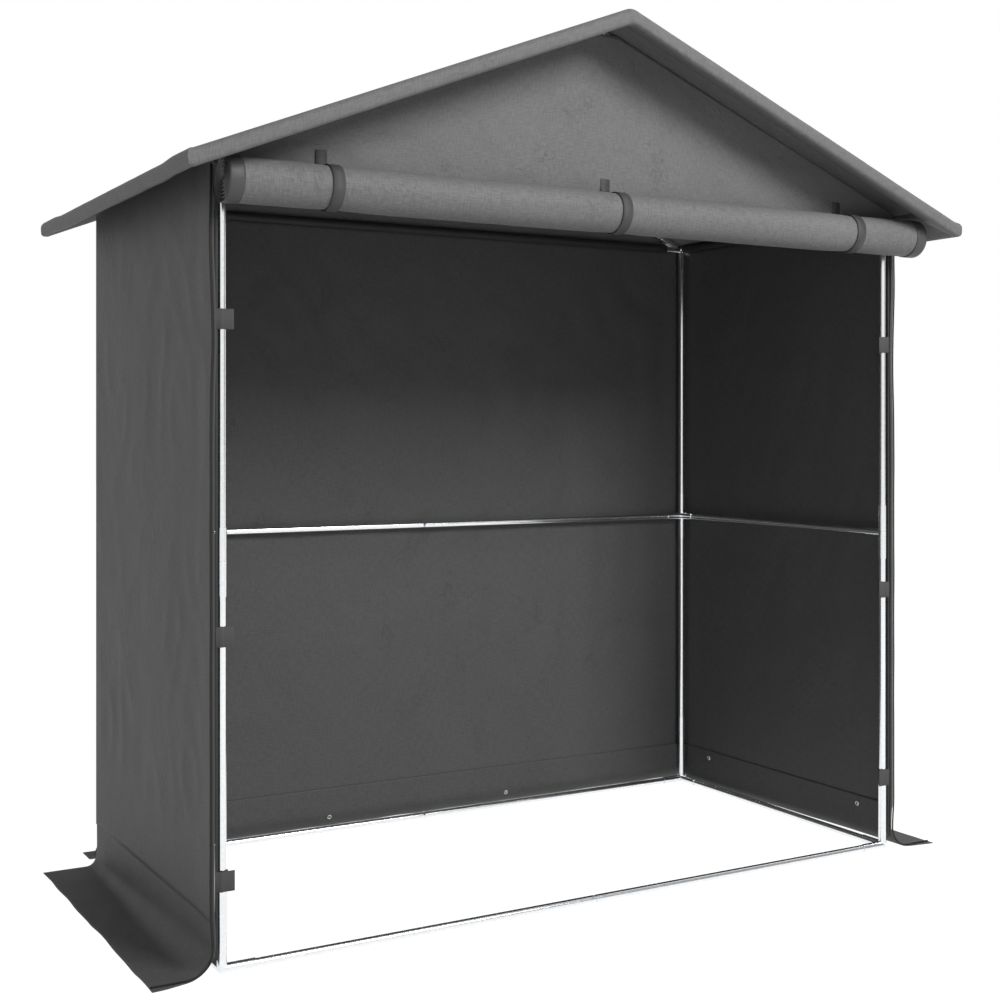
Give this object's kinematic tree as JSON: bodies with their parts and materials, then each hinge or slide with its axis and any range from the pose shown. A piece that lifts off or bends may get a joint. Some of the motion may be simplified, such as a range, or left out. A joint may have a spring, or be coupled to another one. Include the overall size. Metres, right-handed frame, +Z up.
{
  "type": "bike shelter",
  "caption": "Cloth bike shelter with a gable roof on a round tube frame, closed on three sides, with a rolled-up front door.",
  "frame": {"origin": "on the floor under the middle of the cover's outline", "axes": "+X to the right across the open front, +Y from the open front to the back, +Z up"},
  "size_m": [2.244, 1.2568, 2.1698],
  "materials": {
    "tube": "gloss",
    "cover": "matte",
    "webbing": "satin",
    "zip": "matte"
  },
  "bodies": {
    "root": {"front_left_post": "tube", "front_right_post": "tube", "back_left_post": "tube", "back_right_post": "tube", "front_base_rail": "tube", "back_base_rail": "tube", "left_base_rail": "tube", "right_base_rail": "tube", "back_mid_rail": "tube", "left_mid_rail": "tube", "right_mid_rail": "tube", "front_top_rail": "tube", "back_top_rail": "tube", "left_top_rail": "tube", "right_top_rail": "tube", "rafters": "tube", "eave_struts": "tube", "ridge_pole": "tube", "eave_tubes": "tube", "rake_tubes": "tube", "base_corner_connectors": "tube", "post_connectors": "tube", "top_corner_connectors": "tube", "ridge_connectors": "tube", "eave_tees": "tube", "rim_corner_connectors": "tube", "rim_ridge_connectors": "tube", "roof_cover": "cover", "front_gable": "cover", "back_gable": "cover", "left_wall": "cover", "right_wall": "cover", "back_wall": "cover", "left_ground_flap": "cover", "right_ground_flap": "cover", "back_ground_flap": "cover", "door_roll": "cover", "roll_end_bands": "cover", "roll_straps": "webbing", "roll_strap_tabs": "webbing", "post_straps": "webbing", "zip_strips": "zip"}
  },
  "joints": []
}
